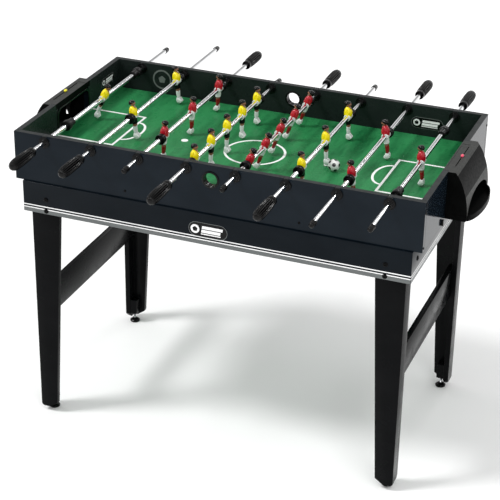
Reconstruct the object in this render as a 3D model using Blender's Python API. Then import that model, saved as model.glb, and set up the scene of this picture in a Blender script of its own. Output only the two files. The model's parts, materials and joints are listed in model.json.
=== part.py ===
"""Table football table, 48 inch family class, built piece by piece in metres.

X runs along the table, Y from the front to the rear, Z up.  The floor is z = 0 and
the origin lies on it under the middle of the playing field.
"""
import math

import bmesh
import bpy
from mathutils import Matrix, Vector

for stale in list(bpy.data.objects):
    bpy.data.objects.remove(stale, do_unlink=True)

# ---------------------------------------------------------------- driving dimensions
BOX_X = 0.550            # half length of the upper box
BOX_Y = 0.305            # half width of the upper box
RIM_Z = 0.842            # top of the rim above the floor
BOX_H = 0.133            # height of the box panels
BOARD = 0.015            # thickness of every board
GAP = 0.0003             # air left between pieces that touch
FIELD_Z = 0.756          # top of the playfield
FIELD_T = 0.012
ROD_PITCH = 0.132
ROD_Z = RIM_Z - 0.018    # rod axis
ROD_R = 0.00635
APRON_H = 0.086
APRON_IN_X = 0.022       # the apron stands back from the box ends
APRON_OUT_Y = 0.006      # and a little proud of its long sides

BOX_Z = RIM_Z - BOX_H
IN_X = BOX_X - BOARD
IN_Y = BOX_Y - BOARD
APRON_X = BOX_X - APRON_IN_X
APRON_Y = BOX_Y + APRON_OUT_Y
APRON_TOP = BOX_Z - GAP
APRON_Z = APRON_TOP - APRON_H

# bearings and serve rings in the long panels
FLANGE_R = 0.015
FLANGE_OUT = 0.006
FLANGE_IN = 0.008
BORE_R = (ROD_R + GAP) / math.cos(math.pi / 12)
SERVE_Z = RIM_Z - 0.039
SERVE_R = 0.018
SERVE_RING_R = 0.023

# goal and ball return at each end
GOAL_Y = 0.090
GOAL_TOP = RIM_Z - 0.0157
PLATE_Y = 0.100
SHELL_Y = 0.108
SHELL_T = 0.003
SHELL_Z = BOX_Z + 0.006
CUP_Z = SHELL_Z + 0.015
CUP_X = 0.600
CUP_AX = 0.030
CUP_AY = 0.105
SLOT_X = BOX_X + 0.008
SLOT_W = 0.003
SLOT_Y = 0.066
RECESS_D = 0.0008
ARCH_Y = 0.098           # half width and height of the arched opening over the cup
ARCH_H = 0.036
BEAD_R = 0.0070

# legs
LEG_X = APRON_X - BOARD - GAP
LEG_Y = APRON_Y - BOARD - GAP
LEG_Z = 0.014
LEG_TOP = APRON_TOP - 0.0007
LEG_W_TOP = 0.0845
LEG_W_FOOT = 0.048
LEG_D_TOP = 0.048
LEG_D_FOOT = 0.044
LEG_CHAMFER = 0.006
BLOCK_Z = 0.030          # glued corner block that the levelling stud screws into
BLOCK_TOP = 0.075
FOOT_X = LEG_X - 0.0242
FOOT_Y = LEG_Y - 0.0305
STUD_R = 0.0038
STRETCH_Z = 0.298
STRETCH_H = 0.090

# rods: team, men on the rod, handle side, how far it is pushed in, lean in degrees
FRONT, REAR = -1, 1
YELLOW, RED = 1, -1
RODS = (
    (YELLOW, 1, FRONT, 0.038, 22),
    (YELLOW, 2, FRONT, 0.094, -7.5),
    (RED, 3, REAR, 0.041, 4),
    (YELLOW, 5, FRONT, -0.036, 0),
    (RED, 5, REAR, 0.001, 19),
    (YELLOW, 3, FRONT, -0.006, -4),
    (RED, 2, REAR, -0.049, -8),
    (RED, 1, REAR, -0.033, -5),
)
MEN_AT = {
    1: (0.0,),
    2: (-0.142, 0.142),
    3: (-0.184, 0.0, 0.184),
    5: (-0.216, -0.108, 0.0, 0.108, 0.216),
}
GRIP_FROM = {1: 0.408, 2: 0.455, 3: 0.391, 5: 0.379}   # from the rod's middle
CAP_END = {1: 0.430, 2: 0.446, 3: 0.432, 5: 0.398}
GRIP_L = 0.108
GRIP_BORE = 0.088
BUMPER_R = 0.014
BUMPER_FROM = 0.0135     # from the outermost man's middle
BUMPER_TO = 0.0285
COLLAR_FROM = 0.1865     # goalkeeper rods carry long collars instead
COLLAR_TO = 0.2245
BARREL_R = 0.0092        # sleeve through a player's waist
BARREL_Y = 0.0125
SKIN_SIDES = 8           # players are skinned with eight-sided loops,
SKIN_SWELL = 1.06        # swelled so that the flats lie on the stated size

BALL_R = 0.016
BALL_AT = (0.2310, -0.0320)


# ---------------------------------------------------------------- materials
def material(name, colour, rough, metal=0.0):
    mat = bpy.data.materials.new(name)
    mat.use_nodes = True
    shader = mat.node_tree.nodes["Principled BSDF"]
    shader.inputs["Base Color"].default_value = (*colour, 1.0)
    shader.inputs["Roughness"].default_value = rough
    shader.inputs["Metallic"].default_value = metal
    return mat


def own_material(base, node):
    mat = base.copy()
    mat.name = f"{base.name}_{node}"
    return mat


LAMINATE = material("charcoal_laminate", (0.022, 0.026, 0.034), 0.38)
FIELD = material("green_field", (0.020, 0.165, 0.060), 0.45)
PLASTIC = material("black_plastic", (0.012, 0.012, 0.013), 0.42)
HOUSING = material("grey_moulding", (0.040, 0.040, 0.042), 0.50)
STEEL = material("chromed_steel", (0.72, 0.73, 0.75), 0.14, 1.0)
GRIP = material("black_grip", (0.010, 0.010, 0.011), 0.48)
YELLOW_KIT = material("yellow_player", (0.90, 0.72, 0.02), 0.35)
RED_KIT = material("red_player", (0.55, 0.02, 0.03), 0.35)
YELLOW_BEAD = material("yellow_bead", (0.85, 0.85, 0.05), 0.35)
RED_BEAD = material("red_bead", (0.80, 0.10, 0.16), 0.35)
WHITE = material("white_ball", (0.85, 0.85, 0.85), 0.30)


# ---------------------------------------------------------------- mesh helpers
def solid(bm, name="solid"):
    bmesh.ops.recalc_face_normals(bm, faces=bm.faces[:])
    mesh = bpy.data.meshes.new(name)
    bm.to_mesh(mesh)
    bm.free()
    return mesh


def box(lo, hi):
    bm = bmesh.new()
    size = Vector(hi) - Vector(lo)
    middle = (Vector(hi) + Vector(lo)) / 2
    fit = Matrix.Translation(middle) @ Matrix.Diagonal((*size, 1.0))
    bmesh.ops.create_cube(bm, size=1.0, matrix=fit)
    return solid(bm)


def prism(outline, axis, lo, hi):
    """Extrude a closed outline along an axis; the outline gives the other two, in order."""
    bm = bmesh.new()

    def place(pair, along):
        spot = list(pair)
        spot.insert("XYZ".index(axis), along)
        return bm.verts.new(spot)

    near = [place(pair, lo) for pair in outline]
    far = [place(pair, hi) for pair in outline]
    count = len(outline)
    bm.faces.new(near)
    bm.faces.new(far)
    for i in range(count):
        j = (i + 1) % count
        bm.faces.new((near[i], near[j], far[j], far[i]))
    return solid(bm)


def rings(levels):
    """Skin a stack of closed loops and close both ends."""
    bm = bmesh.new()
    loops = [[bm.verts.new(spot) for spot in level] for level in levels]
    count = len(loops[0])
    for lower, upper in zip(loops, loops[1:]):
        for i in range(count):
            j = (i + 1) % count
            bm.faces.new((lower[i], lower[j], upper[j], upper[i]))
    bm.faces.new(loops[0])
    bm.faces.new(loops[-1])
    return solid(bm)


def lathe(profile, axis, segments, flute=None):
    """Turn (along, radius) points about an axis; a zero radius closes an end in a point."""
    bm = bmesh.new()
    along_axis = "XYZ".index(axis)
    first, second = [k for k in range(3) if k != along_axis]

    def spot(along, radius, angle):
        where = [0.0, 0.0, 0.0]
        where[along_axis] = along
        where[first] = radius * math.cos(angle)
        where[second] = radius * math.sin(angle)
        return bm.verts.new(where)

    loops = []
    for step, (along, radius) in enumerate(profile):
        if radius == 0:
            loops.append([spot(along, 0, 0)])
            continue
        depth = flute[step] if flute else 0.0
        loop = []
        for i in range(segments):
            cut = depth if i % 2 else 0.0
            loop.append(spot(along, radius - cut, 2 * math.pi * (i + 0.5) / segments))
        loops.append(loop)
    for lower, upper in zip(loops, loops[1:]):
        for i in range(segments):
            j = (i + 1) % segments
            if len(lower) == 1:
                bm.faces.new((lower[0], upper[j], upper[i]))
            elif len(upper) == 1:
                bm.faces.new((lower[i], lower[j], upper[0]))
            else:
                bm.faces.new((lower[i], lower[j], upper[j], upper[i]))
    return solid(bm)


def combine(base, adds=(), cuts=()):
    """Join and cut solids exactly, and hand back one plain mesh."""
    host = bpy.data.objects.new("host", base)
    bpy.context.scene.collection.objects.link(host)
    tools = []
    for kind, meshes in (("UNION", adds), ("DIFFERENCE", cuts)):
        for mesh in meshes:
            tool = bpy.data.objects.new("tool", mesh)
            bpy.context.scene.collection.objects.link(tool)
            tool.hide_render = True
            tool.display_type = "WIRE"
            step = host.modifiers.new(kind, "BOOLEAN")
            step.operation = kind
            step.solver = "EXACT"
            step.object = tool
            tools.append(tool)
    bpy.context.view_layer.update()
    seen = host.evaluated_get(bpy.context.evaluated_depsgraph_get())
    result = bpy.data.meshes.new_from_object(seen)
    for spent in tools + [host]:
        bpy.data.objects.remove(spent, do_unlink=True)
    bm = bmesh.new()
    bm.from_mesh(result)
    bmesh.ops.remove_doubles(bm, verts=bm.verts[:], dist=0.00001)
    bmesh.ops.dissolve_limit(
        bm, angle_limit=math.radians(0.5), verts=bm.verts[:], edges=bm.edges[:]
    )
    bmesh.ops.triangulate(bm, faces=bm.faces[:])
    return solid(bm)


def mirrored(mesh, x=1, y=1):
    copy = mesh.copy()
    copy.transform(Matrix.Diagonal((x, y, 1.0, 1.0)))
    if x * y < 0:
        copy.flip_normals()
    return copy


def add(name, mesh, base, at=(0, 0, 0), smooth=None):
    """Put a mesh in the scene as a named node, its origin moved to `at`."""
    mesh.name = name
    mesh.transform(Matrix.Translation(-Vector(at)))
    node = bpy.data.objects.new(name, mesh)
    node.location = at
    mesh.materials.clear()
    mesh.materials.append(own_material(base, name))
    bpy.context.scene.collection.objects.link(node)
    if smooth:
        for face in mesh.polygons:
            face.use_smooth = True
        mesh.set_sharp_from_angle(angle=math.radians(smooth))
    return node


def moved(mesh, offset):
    mesh.transform(Matrix.Translation(Vector(offset)))
    return mesh


def round_outline(radius, segments, centre=(0.0, 0.0)):
    turn = [2 * math.pi * (i + 0.5) / segments for i in range(segments)]
    return [(centre[0] + radius * math.cos(a), centre[1] + radius * math.sin(a)) for a in turn]


# ---------------------------------------------------------------- upper box
def rod_x(number):
    return (number - 4.5) * ROD_PITCH


def slot_outline(x):
    """Drop-in bearing slot: round under the rod, straight sides up through the rim."""
    low = [math.pi + math.pi * (i + 0.5) / 6 for i in range(6)]
    under = [(x + BORE_R * math.cos(a), ROD_Z + BORE_R * math.sin(a)) for a in low]
    side = ROD_R + GAP
    top = RIM_Z + 0.01
    return [(x - side, top)] + [(x - side, ROD_Z)] + under + [(x + side, ROD_Z), (x + side, top)]


def long_panel():
    """Front panel with eight rod bearings and the serve ring."""
    panel = box((-BOX_X, -BOX_Y, BOX_Z), (BOX_X, -IN_Y, RIM_Z))
    out = -BOX_Y - FLANGE_OUT
    inside = -IN_Y + FLANGE_IN
    flanges = [
        prism(round_outline(FLANGE_R, 16, (rod_x(n), ROD_Z)), "Y", out, inside)
        for n in range(1, 9)
    ]
    ring = prism(round_outline(SERVE_RING_R, 20, (0, SERVE_Z)), "Y", -BOX_Y - 0.003, -IN_Y + 0.002)
    hole = prism(round_outline(SERVE_R, 20, (0, SERVE_Z)), "Y", -BOX_Y - 0.01, -IN_Y + 0.01)
    slots = [prism(slot_outline(rod_x(n)), "Y", out - 0.01, inside + 0.01) for n in range(1, 9)]
    return combine(panel, flanges + [ring], slots + [hole])


def end_panel():
    """Right end panel with the goal mouth and the seat for the moulding's top plate."""
    y = IN_Y - GAP
    seat = PLATE_Y + GAP
    sill = FIELD_Z
    top = GOAL_TOP - GAP
    outline = [
        (-y, BOX_Z), (y, BOX_Z), (y, RIM_Z), (seat, RIM_Z), (seat, top), (GOAL_Y, top),
        (GOAL_Y, sill), (-GOAL_Y, sill), (-GOAL_Y, top), (-seat, top), (-seat, RIM_Z), (-y, RIM_Z),
    ]
    return prism(outline, "X", IN_X, BOX_X)


FRONT_PANEL = long_panel()
add("side_panel_rear", mirrored(FRONT_PANEL, y=-1), LAMINATE)
add("side_panel_front", FRONT_PANEL, LAMINATE)
RIGHT_PANEL = end_panel()
add("end_panel_left", mirrored(RIGHT_PANEL, x=-1), LAMINATE)
add("end_panel_right", RIGHT_PANEL, LAMINATE)
add(
    "playfield",
    box((-IN_X + GAP, -IN_Y + GAP, FIELD_Z - FIELD_T), (IN_X - GAP, IN_Y - GAP, FIELD_Z)),
    FIELD,
)


# ---------------------------------------------------------------- ball return mouldings
def ball_return():
    back = BOX_X + GAP
    face = [
        (CUP_X + 0.004, SHELL_Z), (CUP_X + 0.006, SHELL_Z + 0.020), (CUP_X + 0.003, SHELL_Z + 0.050),
        (CUP_X - 0.003, SHELL_Z + 0.075), (CUP_X - 0.015, RIM_Z - 0.022), (BOX_X + 0.0205, RIM_Z),
    ]
    shell = prism([(back, SHELL_Z)] + face + [(back, RIM_Z)], "Y", -SHELL_Y, SHELL_Y)
    bridge = box((IN_X + GAP, -PLATE_Y, GOAL_TOP), (BOX_X + 0.0055, PLATE_Y, RIM_Z))
    floor = SHELL_Z + SHELL_T
    inner = [(x - SHELL_T, z) for x, z in face[1:-1]]
    hollow = prism(
        [(back - 0.01, floor), (CUP_X + 0.001, floor)] + inner
        + [(BOX_X + 0.0170, RIM_Z - 0.004), (BOX_X + 0.0055, RIM_Z - 0.004),
           (BOX_X + 0.0055, GOAL_TOP - 0.002), (back - 0.01, GOAL_TOP - 0.002)],
        "Y", -SHELL_Y + SHELL_T, SHELL_Y - SHELL_T,
    )
    cup_turn = [-math.pi / 2 + math.pi * i / 14 for i in range(15)]
    wall = [(CUP_X + CUP_AX * math.cos(a), CUP_AY * math.sin(a)) for a in cup_turn]
    room = [
        (CUP_X + (CUP_AX - SHELL_T) * math.cos(a), (CUP_AY - SHELL_T) * math.sin(a))
        for a in cup_turn
    ]
    step_in = [(CUP_X - 0.004, CUP_AY), (CUP_X - 0.004, -CUP_AY)]
    cup = prism(wall + step_in, "Z", SHELL_Z, CUP_Z)
    dip = prism(
        room + [(CUP_X - 0.020, CUP_AY - SHELL_T), (CUP_X - 0.020, -CUP_AY + SHELL_T)],
        "Z", floor, CUP_Z + 0.004,
    )
    arch_turn = [math.pi * i / 12 for i in range(13)]
    arch = [(ARCH_Y * math.cos(a), CUP_Z + 0.002 + ARCH_H * math.sin(a)) for a in arch_turn]
    mouth = prism(arch, "X", CUP_X - 0.012, CUP_X + 0.04)
    recess = box(
        (IN_X + 0.0035, -0.074, RIM_Z - RECESS_D), (SLOT_X + SLOT_W / 2, 0.080, RIM_Z + 0.01)
    )
    slot = box(
        (SLOT_X - SLOT_W / 2, -SLOT_Y, RIM_Z - 0.010), (SLOT_X + SLOT_W / 2, SLOT_Y, RIM_Z + 0.01)
    )
    return combine(shell, [bridge, cup], [hollow, dip, mouth, recess, slot])


def score_bead():
    """Oval button on a stem, kept in its slot by a foot under the plate."""
    seat = RIM_Z + GAP
    dome = lathe(
        [(0, 0), (0, 0.0065), (0.002, BEAD_R), (0.004, 0.0052), (0.005, 0.0025), (0.005, 0)],
        "Z", 12,
    )
    dome.transform(Matrix.Diagonal((0.66, 1.0, 1.0, 1.0)))
    moved(dome, (SLOT_X, 0, seat))
    stem = box((SLOT_X - 0.0011, -0.004, RIM_Z - 0.0065), (SLOT_X + 0.0011, 0.004, seat + 0.001))
    foot = box((SLOT_X - 0.0022, -0.005, RIM_Z - 0.0065), (SLOT_X + 0.0035, 0.005, RIM_Z - 0.005))
    return combine(dome, [stem, foot])


RIGHT_RETURN = ball_return()
add("ball_return_left", mirrored(RIGHT_RETURN, x=-1), HOUSING)
add("ball_return_right", RIGHT_RETURN, HOUSING)
RIGHT_BEAD = score_bead()
add("score_bead_left", mirrored(RIGHT_BEAD, x=-1), YELLOW_BEAD, (-SLOT_X, 0, RIM_Z), smooth=40)
add("score_bead_right", RIGHT_BEAD, RED_BEAD, (SLOT_X, 0, RIM_Z), smooth=40)


# ---------------------------------------------------------------- frame and legs
def apron():
    whole = box((-APRON_X, -APRON_Y, APRON_Z), (APRON_X, APRON_Y, APRON_TOP))
    x = APRON_X - BOARD
    y = APRON_Y - BOARD
    return combine(whole, [], [box((-x, -y, APRON_Z - 0.01), (x, y, APRON_TOP + 0.01))])


def leg():
    """Front right leg: two boards glued into a tapering angle, with a block for the stud."""
    foot = LEG_X - LEG_W_FOOT
    wide = [
        (LEG_X, LEG_TOP), (LEG_X - LEG_W_TOP, LEG_TOP), (foot - 0.001, LEG_Z + 0.016),
        (foot + 0.022, LEG_Z), (LEG_X - LEG_CHAMFER, LEG_Z), (LEG_X, LEG_Z + LEG_CHAMFER),
    ]
    board = prism(wide, "Y", -LEG_Y, -LEG_Y + BOARD)
    heel = -LEG_Y + LEG_D_FOOT
    deep = [
        (-LEG_Y, LEG_TOP), (-LEG_Y + LEG_D_TOP, LEG_TOP), (heel, LEG_Z + 0.014),
        (heel - 0.012, LEG_Z), (-LEG_Y, LEG_Z),
    ]
    side = prism(deep, "X", LEG_X - BOARD, LEG_X)
    block = box(
        (LEG_X - 0.0355, -LEG_Y + 0.008, BLOCK_Z), (LEG_X - 0.008, -LEG_Y + 0.0425, BLOCK_TOP)
    )
    below = LEG_Z - 0.001
    beyond = LEG_X + 0.001
    corner = prism(
        [(LEG_X - LEG_CHAMFER, below), (beyond, below), (beyond, LEG_Z + LEG_CHAMFER + 0.001),
         (LEG_X, LEG_Z + LEG_CHAMFER), (LEG_X - LEG_CHAMFER, LEG_Z)],
        "Y", -LEG_Y - 0.01, 0,
    )
    bore_r = STUD_R + 0.0005
    bore_top = BLOCK_TOP + 0.015
    bore = moved(
        lathe([(0.02, 0), (0.02, bore_r), (bore_top, bore_r), (bore_top, 0)], "Z", 12),
        (FOOT_X, -FOOT_Y, 0),
    )
    return combine(board, [side, block], [corner, bore])


def leveler():
    return moved(
        lathe(
            [(0, 0), (0, 0.0135), (0.0015, 0.015), (0.005, 0.015), (0.0085, 0.010),
             (0.0085, STUD_R), (0.060, STUD_R), (0.060, 0)],
            "Z", 16,
        ),
        (FOOT_X, -FOOT_Y, 0),
    )


add("apron_frame", apron(), LAMINATE)
LEG = leg()
LEVELER = leveler()
for end, x in (("left", -1), ("right", 1)):
    for side, y in (("front", 1), ("rear", -1)):
        add(f"leg_{side}_{end}", mirrored(LEG, x, y), LAMINATE)
        add(
            f"leveler_{side}_{end}", mirrored(LEVELER, x, y), PLASTIC,
            (x * FOOT_X, -y * FOOT_Y, 0), smooth=35,
        )
    inner = sorted((x * (LEG_X - BOARD - GAP), x * (LEG_X - 2 * BOARD - GAP)))
    reach = LEG_Y - BOARD - GAP
    rail = box((inner[0], -reach, STRETCH_Z), (inner[1], reach, STRETCH_Z + STRETCH_H))
    add(f"stretcher_{end}", rail, LAMINATE)


# ---------------------------------------------------------------- rods, handles and men
def rod(count, side):
    """Rod with end cap and its two bumpers, the handle end pointing along `side`."""
    cap = -CAP_END[count]
    if count == 1:
        stops = (-COLLAR_TO, -COLLAR_FROM), (COLLAR_FROM, COLLAR_TO)
    else:
        outer = MEN_AT[count][-1]
        stops = (-outer - BUMPER_TO, -outer - BUMPER_FROM), (outer + BUMPER_FROM, outer + BUMPER_TO)
    profile = [
        (cap, 0), (cap, 0.0045), (cap + 0.003, 0.0076), (cap + 0.022, 0.0080), (cap + 0.022, ROD_R),
    ]
    for near, far in stops:
        profile += [(near, ROD_R), (near, BUMPER_R), (far, BUMPER_R), (far, ROD_R)]
    end = GRIP_FROM[count] + GRIP_BORE - 0.003
    profile += [(end, ROD_R), (end, 0)]
    return lathe([(side * along, radius) for along, radius in profile], "Y", 12)


def grip(count, side):
    """Fluted handle with a blind bore for the rod."""
    start = GRIP_FROM[count]
    bore = (ROD_R + GAP) / math.cos(math.pi / 16)
    steps = (
        (GRIP_BORE, 0, 0), (GRIP_BORE, bore, 0), (0, bore, 0), (0, 0.0115, 0), (0.002, 0.0125, 0),
        (0.010, 0.0125, 0), (0.013, 0.0108, 0), (0.024, 0.0140, 0.0018), (0.082, 0.0148, 0.0020),
        (0.100, 0.0118, 0.0012), (GRIP_L, 0.0055, 0), (GRIP_L, 0, 0),
    )
    profile = [(side * (start + along), radius) for along, radius, _ in steps]
    return lathe(profile, "Y", 16, [cut for _, _, cut in steps])


def man():
    """Player facing +X, rod axis through the waist at the origin."""
    below = (      # height, forward shift, half depth, half width
        (-0.0640, 0.0010, 0.0045, 0.0065), (-0.0590, 0.0020, 0.0078, 0.0080),
        (-0.0510, 0.0020, 0.0075, 0.0080), (-0.0455, -0.0005, 0.0042, 0.0064),
        (-0.0225, 0.0000, 0.0046, 0.0072), (-0.0205, 0.0000, 0.0072, 0.0098),
        (-0.0030, 0.0000, 0.0076, 0.0100),
    )
    above = (
        (-0.0045, 0.0000, 0.0088, 0.0104), (0.0040, 0.0000, 0.0104, 0.0118),
        (0.0130, 0.0000, 0.0112, 0.0132), (0.0220, 0.0000, 0.0092, 0.0112),
        (0.0280, 0.0000, 0.0052, 0.0070),
        (0.0300, 0.0005, 0.0040, 0.0045), (0.0355, 0.0010, 0.0074, 0.0066),
        (0.0405, 0.0000, 0.0072, 0.0064), (0.0440, 0.0000, 0.0032, 0.0030),
    )

    def skin(levels):
        loops = []
        for z, shift, depth, width in levels:
            loop = []
            for i in range(SKIN_SIDES):
                angle = 2 * math.pi * (i + 0.5) / SKIN_SIDES
                across = shift + depth * SKIN_SWELL * math.cos(angle)
                loop.append((across, width * SKIN_SWELL * math.sin(angle), z))
            loops.append(loop)
        return rings(loops)

    barrel = lathe(
        [(-BARREL_Y, 0), (-BARREL_Y, BARREL_R), (BARREL_Y, BARREL_R), (BARREL_Y, 0)], "Y", 12
    )
    bore = lathe([(-0.02, 0), (-0.02, BORE_R), (0.02, BORE_R), (0.02, 0)], "Y", 12)
    return combine(barrel, [skin(below), skin(above)], [bore])


MAN = man()
for number, (team, count, side, pushed, lean) in enumerate(RODS, start=1):
    axis = (rod_x(number), pushed, ROD_Z)
    add(f"rod_{number}", moved(rod(count, side), axis), STEEL, axis, smooth=35)
    add(f"handle_{number}", moved(grip(count, side), axis), GRIP, axis, smooth=50)
    kit = YELLOW_KIT if team == YELLOW else RED_KIT
    turn = Matrix.Rotation(math.radians(lean), 4, "Y")
    for place, along in enumerate(MEN_AT[count], start=1):
        figure = mirrored(MAN, x=team)
        figure.transform(turn)
        here = (rod_x(number), pushed + along, ROD_Z)
        add(f"man_{number}_{place}", moved(figure, here), kit, here, smooth=45)


# ---------------------------------------------------------------- ball
def ball():
    bm = bmesh.new()
    bmesh.ops.create_icosphere(bm, subdivisions=2, radius=BALL_R)
    return solid(bm)


BALL_Z = FIELD_Z + BALL_R + GAP
add("ball", moved(ball(), (*BALL_AT, BALL_Z)), WHITE, (*BALL_AT, BALL_Z), smooth=60)
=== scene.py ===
"""Eight-rod foosball table: the visual model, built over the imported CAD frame.

X runs along the table, Y from the front to the rear, Z up; everything is in metres.
"""
import json
import math

import bmesh
import bpy
from mathutils import Matrix, Vector


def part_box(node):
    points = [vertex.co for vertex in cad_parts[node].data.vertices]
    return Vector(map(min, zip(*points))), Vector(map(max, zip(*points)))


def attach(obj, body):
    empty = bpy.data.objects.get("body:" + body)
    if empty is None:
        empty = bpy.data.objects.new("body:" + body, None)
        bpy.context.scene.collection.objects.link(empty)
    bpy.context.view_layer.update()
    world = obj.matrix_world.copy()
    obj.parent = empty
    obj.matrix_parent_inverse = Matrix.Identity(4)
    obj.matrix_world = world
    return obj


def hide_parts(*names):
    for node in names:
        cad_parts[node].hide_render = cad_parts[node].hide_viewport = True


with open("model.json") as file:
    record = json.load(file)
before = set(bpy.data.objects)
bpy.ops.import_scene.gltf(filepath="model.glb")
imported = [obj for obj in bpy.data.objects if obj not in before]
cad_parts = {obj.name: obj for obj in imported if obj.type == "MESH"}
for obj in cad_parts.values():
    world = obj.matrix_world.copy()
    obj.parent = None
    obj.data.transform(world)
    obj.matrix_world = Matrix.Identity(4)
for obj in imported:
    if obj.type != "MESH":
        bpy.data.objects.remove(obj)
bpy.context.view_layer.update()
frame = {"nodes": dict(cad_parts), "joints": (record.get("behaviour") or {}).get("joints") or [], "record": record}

# ---- sizes read from the frame
END_LO, END_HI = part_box("end_panel_right")
SIDE_LO, SIDE_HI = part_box("side_panel_front")
_, FIELD_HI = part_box("playfield")
APRON_LO, APRON_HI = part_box("apron_frame")
RETURN_LO, RETURN_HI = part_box("ball_return_right")
BEAD_LO, BEAD_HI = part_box("score_bead_right")
FOOT_LO, FOOT_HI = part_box("leveler_front_right")
BALL_LO, BALL_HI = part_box("ball")

GAP = 0.0003
BOARD = END_HI.x - END_LO.x
BOX_X = END_HI.x
IN_X = END_LO.x
IN_Y = END_HI.y + GAP
BOX_Y = IN_Y + BOARD
BOX_Z = END_LO.z
RIM_Z = END_HI.z
FIELD_Z = FIELD_HI.z
BEARING_OUT = -SIDE_LO.y
BEARING_IN = -SIDE_HI.y

# the rods: axis from the joints, players counted from the bodies
AXES = {}
MEN = {}
for joint in frame["joints"]:
    if joint["name"].endswith("_spin"):
        number = int(joint["name"].split("_")[1])
        AXES[number] = Vector(joint["pos_m"])
        members = frame["record"]["behaviour"]["bodies"][joint["child"]]
        MEN[number] = [node for node in members if node.startswith("man_")]
ROD_Z = AXES[1].z
ROD_R = 0.00635
LEAN = {1: 22, 2: -7.5, 3: 4, 4: 0, 5: 19, 6: -4, 7: -8, 8: -5}   # degrees about +Y
YELLOW_RODS = (1, 2, 4, 6)


# ---- materials
class Finish:
    """A procedural material: a Principled shader with helpers to feed it."""

    def __init__(self, name, rough=0.4, metal=0.0, specular=0.5, coat=0.0):
        self.mat = bpy.data.materials.new(name)
        self.mat.use_nodes = True
        self.tree = self.mat.node_tree
        self.shader = self.tree.nodes["Principled BSDF"]
        self.shader.inputs["Roughness"].default_value = rough
        self.shader.inputs["Metallic"].default_value = metal
        self.shader.inputs["Specular IOR Level"].default_value = specular
        self.shader.inputs["Coat Weight"].default_value = coat
        self.place = self.add("ShaderNodeTexCoord").outputs["Object"]

    def add(self, kind, **settings):
        node = self.tree.nodes.new(kind)
        for key, value in settings.items():
            setattr(node, key, value)
        return node

    def link(self, source, target):
        self.tree.links.new(source, target)

    def noise(self, scale, detail=3.0, stretch=(1, 1, 1)):
        """Noise from 0 to 1; a larger stretch squeezes the pattern along that axis."""
        mapping = self.add("ShaderNodeMapping")
        mapping.inputs["Scale"].default_value = stretch
        self.link(self.place, mapping.inputs["Vector"])
        node = self.add("ShaderNodeTexNoise")
        node.inputs["Scale"].default_value = scale
        node.inputs["Detail"].default_value = detail
        self.link(mapping.outputs["Vector"], node.inputs["Vector"])
        return node.outputs["Fac"]

    def spread(self, value, low, high, start=0.3, stop=0.7):
        node = self.add("ShaderNodeMapRange")
        node.inputs["From Min"].default_value = start
        node.inputs["From Max"].default_value = stop
        node.inputs["To Min"].default_value = low
        node.inputs["To Max"].default_value = high
        self.link(value, node.inputs["Value"])
        return node.outputs["Result"]

    def mix(self, factor, low, high):
        """Blend two colours, or colour sockets, by a factor socket."""
        node = self.add("ShaderNodeMix", data_type="RGBA")
        self.link(factor, node.inputs["Factor"])
        for key, colour in (("A", low), ("B", high)):
            target = [s for s in node.inputs if s.name == key and s.type == "RGBA"][0]
            if isinstance(colour, tuple):
                target.default_value = (*colour, 1.0)
            else:
                self.link(colour, target)
        return [s for s in node.outputs if s.type == "RGBA"][0]

    def colour(self, socket):
        self.link(socket, self.shader.inputs["Base Color"])

    def rough(self, socket):
        self.link(socket, self.shader.inputs["Roughness"])

    def bump(self, height, strength, distance):
        node = self.add("ShaderNodeBump")
        node.inputs["Strength"].default_value = strength
        node.inputs["Distance"].default_value = distance
        self.link(height, node.inputs["Height"])
        self.link(node.outputs["Normal"], self.shader.inputs["Normal"])


def laminate(name, dark, light, rough, shine):
    """Gloss foil over board: faint cloudiness, fine pores and soft smears in the shine."""
    made = Finish(name, specular=shine)
    cloud = made.noise(9, 5, (1, 1, 2))
    made.colour(made.mix(made.spread(cloud, 0, 1), dark, light))
    made.rough(made.spread(made.noise(26, 4), rough * 0.8, rough * 1.35))
    made.bump(made.noise(900, 2), 0.08, 0.0002)
    return made.mat


def moulded(name, dark, light, rough, grain=1400, strength=0.25, specular=0.4):
    """Injection moulded plastic with a fine sprayed grain."""
    made = Finish(name, specular=specular)
    made.colour(made.mix(made.spread(made.noise(60, 4), 0, 1), dark, light))
    made.rough(made.spread(made.noise(140, 3), rough * 0.85, rough * 1.2))
    made.bump(made.noise(grain, 2), strength, 0.0003)
    return made.mat


def painted(name, dark, light, rough=0.25, coat=0.2, specular=0.35):
    """Gloss paint on a moulded player, a little thicker and darker in places."""
    made = Finish(name, coat=coat, specular=specular)
    made.shader.inputs["Coat Roughness"].default_value = 0.12
    made.colour(made.mix(made.spread(made.noise(160, 4), 0, 1), dark, light))
    made.rough(made.spread(made.noise(300, 3), rough * 0.8, rough * 1.4))
    made.bump(made.noise(420, 3), 0.12, 0.0004)
    return made.mat


def metal(name, dark, light, rough, stretch):
    """Bright metal with drawn lines along the bar and faint smears."""
    made = Finish(name, metal=1.0)
    made.colour(made.mix(made.spread(made.noise(30, 4, stretch), 0, 1), dark, light))
    made.rough(made.spread(made.noise(220, 3, stretch), rough * 0.6, rough * 1.6))
    made.bump(made.noise(900, 2, stretch), 0.04, 0.0001)
    return made.mat


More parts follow.
